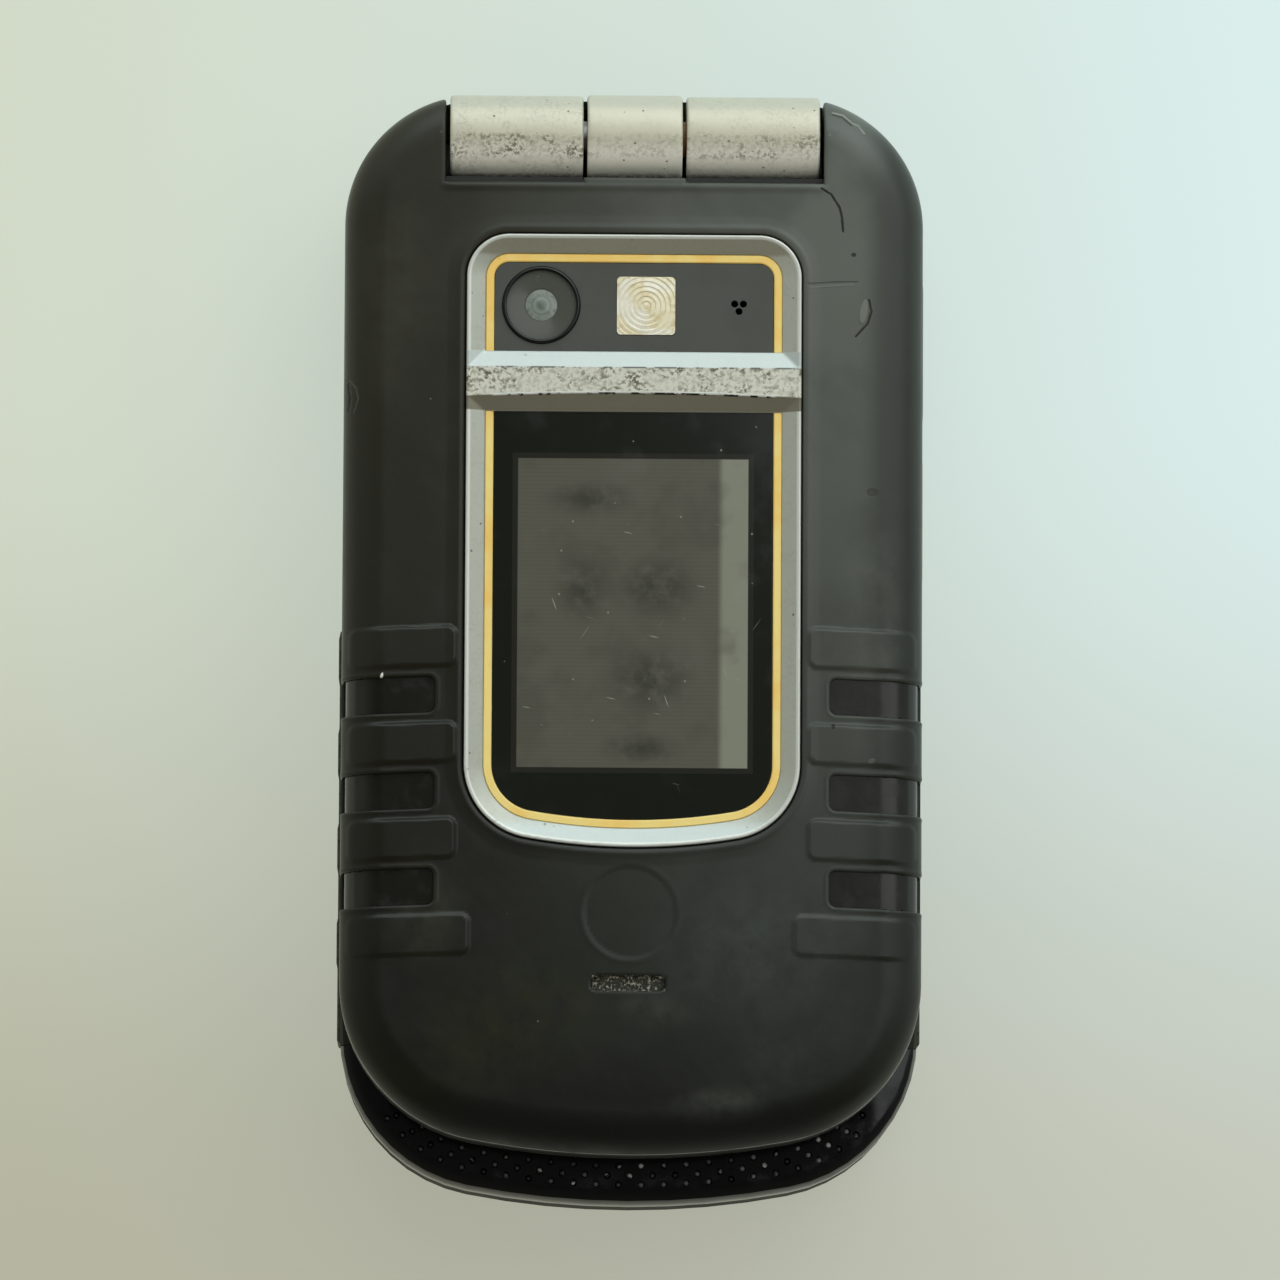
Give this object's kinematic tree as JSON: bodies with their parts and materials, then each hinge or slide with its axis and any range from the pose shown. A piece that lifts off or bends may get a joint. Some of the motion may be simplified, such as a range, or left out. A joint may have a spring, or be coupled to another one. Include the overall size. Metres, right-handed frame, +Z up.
{
  "type": "flip phone",
  "caption": "Rugged clamshell phone, closed: rubber-skinned lid with silver window frame and grips, silver hinge knuckles, perforated chin, keypad inside.",
  "frame": {"origin": "on the surface that the phone lies on, below the middle of its bounding box", "axes": "+Z up, from the back towards the lid; +Y from the chin to the hinge; +X to the right of someone who looks down on the closed lid"},
  "size_m": [0.0495, 0.0932, 0.0233],
  "materials": {
    "lid_rubber": "worn soft-touch rubber skin, satin",
    "grip_gloss": "glossy black plastic in the grip windows",
    "shell_black": "moulded black plastic",
    "inner_black": "fine-textured black plastic",
    "bezel_silver": "silver paint, worn and mottled",
    "trim_yellow": "amber yellow, satin",
    "window_black": "tinted window, dusty gloss",
    "camera_black": "gloss black",
    "lens_glass": "coated camera glass",
    "flash_clear": "moulded flash lens with round steps",
    "outer_screen": "unlit grey-brown display",
    "inner_screen": "unlit display",
    "board_green": "solder mask",
    "part_grey": "small electric part",
    "bumper_rubber": "soft rubber",
    "screw_steel": "black steel screw",
    "hinge_silver": "silver paint, worn, dirty at the edges",
    "hinge_steel": "ground steel",
    "flex_amber": "polyimide film",
    "base_plastic": "black-olive moulded plastic",
    "grip_rubber": "olive grey rubber",
    "chin_gloss": "gloss black, perforated",
    "mat_silicone": "silicone",
    "battery_grey": "battery case",
    "cover_plastic": "black-olive moulded plastic",
    "latch_plastic": "grey plastic",
    "port_rubber": "soft rubber",
    "side_key": "satin plastic",
    "talk_key": "amber yellow plastic",
    "nav_metal": "dark silver paint",
    "select_silver": "silver paint",
    "key_plastic": "satin key plastic with white marks",
    "send_key": "green key plastic",
    "end_key": "red key plastic"
  },
  "bodies": {
    "base": {"centre_knuckle": "hinge_silver", "hinge_shaft": "hinge_steel", "base_rear_shell": "base_plastic", "base_front_shell": "base_plastic", "base_grips": "grip_rubber", "chin_panel": "chin_gloss", "loudspeaker": "part_grey", "main_board": "board_green", "keypad_mat": "mat_silicone", "battery_pack": "battery_grey", "data_connector": "hinge_steel", "base_screws": "screw_steel", "vibration_motor": "hinge_steel"},
    "lid": {"lid_rubber_skin": "lid_rubber", "grip_inserts": "grip_gloss", "lid_front_shell": "shell_black", "lid_inner_cover": "inner_black", "window_bezel": "bezel_silver", "window_trim_ring": "trim_yellow", "camera_window": "window_black", "camera_ring": "camera_black", "camera_lens": "lens_glass", "camera_module": "part_grey", "flash_lens": "flash_clear", "outer_display_window": "window_black", "outer_display": "outer_screen", "lid_board": "board_green", "inner_display": "inner_screen", "inner_display_window": "window_black", "earpiece_speaker": "part_grey", "lid_bumpers": "bumper_rubber", "lid_screws": "screw_steel", "hinge_sleeve_left": "hinge_silver", "hinge_sleeve_right": "hinge_silver", "hinge_cam_can": "hinge_steel", "flex_cable": "flex_amber"},
    "vibration_weight": {"vibration_weight": "hinge_steel"},
    "battery_cover": {"battery_cover": "cover_plastic"},
    "battery_latch": {"battery_latch": "latch_plastic"},
    "port_cover": {"port_cover": "port_rubber"},
    "volume_rocker": {"volume_rocker": "side_key"},
    "talk_key": {"talk_key": "talk_key"},
    "nav_ring": {"nav_ring": "nav_metal"},
    "soft_key_left": {"soft_key_left": "key_plastic"},
    "soft_key_right": {"soft_key_right": "key_plastic"},
    "send_key": {"send_key": "send_key"},
    "end_key": {"end_key": "end_key"},
    "select_key": {"select_key": "select_silver"},
    "key_1": {"key_1": "key_plastic"},
    "key_2": {"key_2": "key_plastic"},
    "key_3": {"key_3": "key_plastic"},
    "key_4": {"key_4": "key_plastic"},
    "key_5": {"key_5": "key_plastic"},
    "key_6": {"key_6": "key_plastic"},
    "key_7": {"key_7": "key_plastic"},
    "key_8": {"key_8": "key_plastic"},
    "key_9": {"key_9": "key_plastic"},
    "key_star": {"key_star": "key_plastic"},
    "key_0": {"key_0": "key_plastic"},
    "key_hash": {"key_hash": "key_plastic"}
  },
  "joints": [
    {"name": "lid_hinge", "type": "hinge", "parent": "base", "child": "lid", "pos_m": [0, 0.0429, 0.0195], "axis": [-1, 0, 0], "range_deg": [0, 160]},
    {"name": "battery_cover_lift", "type": "slide", "parent": "base", "child": "battery_cover", "axis": [0, 0, -1], "range_m": [0, 0.02]},
    {"name": "battery_latch_slide", "type": "slide", "parent": "battery_cover", "child": "battery_latch", "axis": [0, -1, 0], "range_m": [0, 0.0015], "stiffness_N_per_m": 100, "springref_m": -0.002},
    {"name": "port_cover_hinge", "type": "hinge", "parent": "base", "child": "port_cover", "pos_m": [-0.02435, 0.0245, 0.0052], "axis": [0, 0, 1], "range_deg": [0, 110]},
    {"name": "volume_rock", "type": "hinge", "parent": "base", "child": "volume_rocker", "pos_m": [0.0221, 0.0263, 0.0074], "axis": [0, 0, 1], "range_deg": [-2.5, 2.5], "stiffness_Nm_per_rad": 0.2},
    {"name": "talk_press", "type": "slide", "parent": "base", "child": "talk_key", "axis": [-1, 0, 0], "range_m": [0, 0.0005], "stiffness_N_per_m": 800, "springref_m": -0.0004},
    {"name": "nav_rock", "type": "hinge", "parent": "base", "child": "nav_ring", "pos_m": [0, 0.0205, 0.01084], "axis": [1, 0, 0], "range_deg": [-2, 2], "stiffness_Nm_per_rad": 0.3},
    {"name": "weight_spin", "type": "hinge", "parent": "base", "child": "vibration_weight", "pos_m": [-0.002, 0.0295, 0.0039], "axis": [1, 0, 0], "continuous": true},
    {"name": "soft_key_left_press", "type": "slide", "parent": "base", "child": "soft_key_left", "axis": [0, 0, -1], "range_m": [0, 0.0004], "stiffness_N_per_m": 800, "springref_m": -0.0004},
    {"name": "soft_key_right_press", "type": "slide", "parent": "base", "child": "soft_key_right", "axis": [0, 0, -1], "range_m": [0, 0.0004], "stiffness_N_per_m": 800, "springref_m": -0.0004},
    {"name": "send_key_press", "type": "slide", "parent": "base", "child": "send_key", "axis": [0, 0, -1], "range_m": [0, 0.0004], "stiffness_N_per_m": 800, "springref_m": -0.0004},
    {"name": "end_key_press", "type": "slide", "parent": "base", "child": "end_key", "axis": [0, 0, -1], "range_m": [0, 0.0004], "stiffness_N_per_m": 800, "springref_m": -0.0004},
    {"name": "select_key_press", "type": "slide", "parent": "base", "child": "select_key", "axis": [0, 0, -1], "range_m": [0, 0.0004], "stiffness_N_per_m": 800, "springref_m": -0.0004},
    {"name": "key_1_press", "type": "slide", "parent": "base", "child": "key_1", "axis": [0, 0, -1], "range_m": [0, 0.0004], "stiffness_N_per_m": 800, "springref_m": -0.0004},
    {"name": "key_2_press", "type": "slide", "parent": "base", "child": "key_2", "axis": [0, 0, -1], "range_m": [0, 0.0004], "stiffness_N_per_m": 800, "springref_m": -0.0004},
    {"name": "key_3_press", "type": "slide", "parent": "base", "child": "key_3", "axis": [0, 0, -1], "range_m": [0, 0.0004], "stiffness_N_per_m": 800, "springref_m": -0.0004},
    {"name": "key_4_press", "type": "slide", "parent": "base", "child": "key_4", "axis": [0, 0, -1], "range_m": [0, 0.0004], "stiffness_N_per_m": 800, "springref_m": -0.0004},
    {"name": "key_5_press", "type": "slide", "parent": "base", "child": "key_5", "axis": [0, 0, -1], "range_m": [0, 0.0004], "stiffness_N_per_m": 800, "springref_m": -0.0004},
    {"name": "key_6_press", "type": "slide", "parent": "base", "child": "key_6", "axis": [0, 0, -1], "range_m": [0, 0.0004], "stiffness_N_per_m": 800, "springref_m": -0.0004},
    {"name": "key_7_press", "type": "slide", "parent": "base", "child": "key_7", "axis": [0, 0, -1], "range_m": [0, 0.0004], "stiffness_N_per_m": 800, "springref_m": -0.0004},
    {"name": "key_8_press", "type": "slide", "parent": "base", "child": "key_8", "axis": [0, 0, -1], "range_m": [0, 0.0004], "stiffness_N_per_m": 800, "springref_m": -0.0004},
    {"name": "key_9_press", "type": "slide", "parent": "base", "child": "key_9", "axis": [0, 0, -1], "range_m": [0, 0.0004], "stiffness_N_per_m": 800, "springref_m": -0.0004},
    {"name": "key_star_press", "type": "slide", "parent": "base", "child": "key_star", "axis": [0, 0, -1], "range_m": [0, 0.0004], "stiffness_N_per_m": 800, "springref_m": -0.0004},
    {"name": "key_0_press", "type": "slide", "parent": "base", "child": "key_0", "axis": [0, 0, -1], "range_m": [0, 0.0004], "stiffness_N_per_m": 800, "springref_m": -0.0004},
    {"name": "key_hash_press", "type": "slide", "parent": "base", "child": "key_hash", "axis": [0, 0, -1], "range_m": [0, 0.0004], "stiffness_N_per_m": 800, "springref_m": -0.0004}
  ]
}
